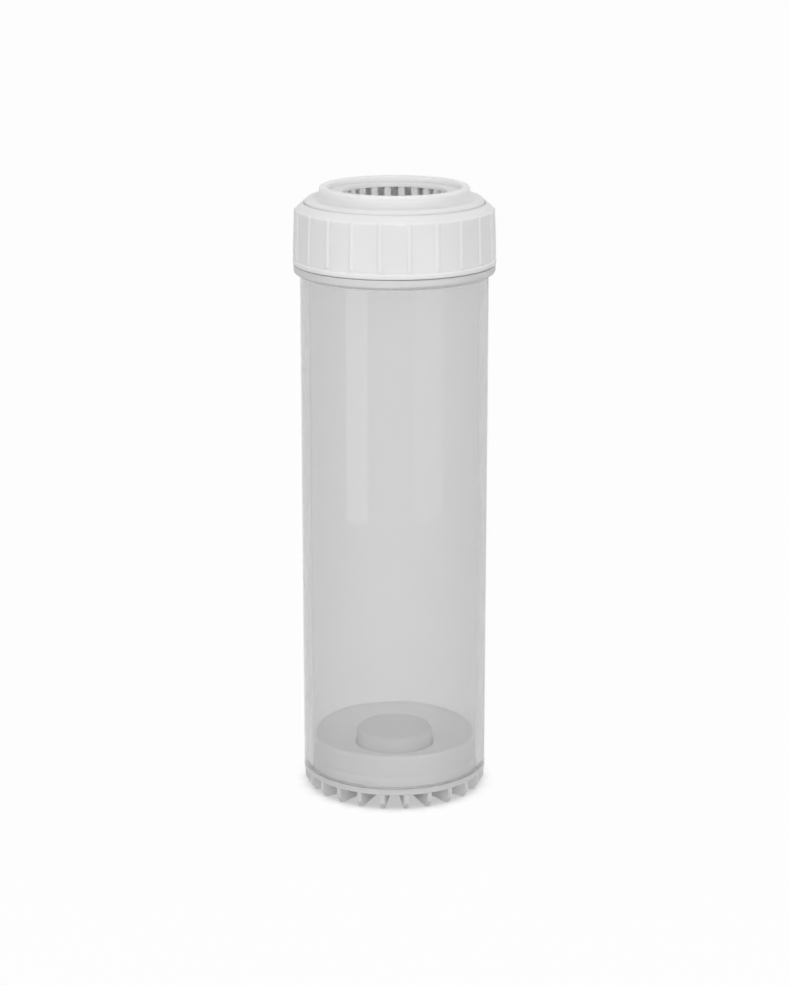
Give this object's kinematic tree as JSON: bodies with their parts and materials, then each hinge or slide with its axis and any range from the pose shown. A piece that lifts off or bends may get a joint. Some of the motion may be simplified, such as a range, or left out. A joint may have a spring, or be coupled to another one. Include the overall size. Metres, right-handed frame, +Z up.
{
  "type": "refillable filter cartridge",
  "caption": "Clear refillable cartridge barrel with a finned, slotted foot, foam pads and a screw-on white lock ring that clamps a slotted outlet insert.",
  "frame": {"origin": "centre of the foot on the ground: the bottom of the bounding box", "axes": "+Z up along the barrel's axis, from the finned foot to the collar; -Y is the pictured front"},
  "size_m": [0.0806, 0.0806, 0.248],
  "materials": {
    "clear_plastic": "clear, polished",
    "foam": "fine open-cell white foam",
    "white_insert": "satin moulded white",
    "white_ring": "satin moulded white",
    "white_gasket": "smooth soft white",
    "hidden_gasket": "smooth soft white"
  },
  "bodies": {
    "barrel": {"barrel": "clear_plastic", "bottom_pad": "foam"},
    "closure": {"outlet_insert": "white_insert", "top_gasket": "white_gasket", "mouth_gasket": "hidden_gasket", "top_pad": "foam"},
    "ring": {"lock_ring": "white_ring"}
  },
  "joints": [
    {"name": "closure_lift", "type": "slide", "parent": "barrel", "child": "closure", "axis": [0, 0, 1], "range_m": [0, 0.01]},
    {"name": "ring_turn", "type": "hinge", "parent": "closure", "child": "ring", "pos_m": [0, 0, 0.23], "axis": [0, 0, 1], "range_deg": [0, 720]}
  ],
  "couplings": [
    {"joint": "closure_lift", "follows": "ring_turn", "m_per_rad": 0.00079577}
  ]
}
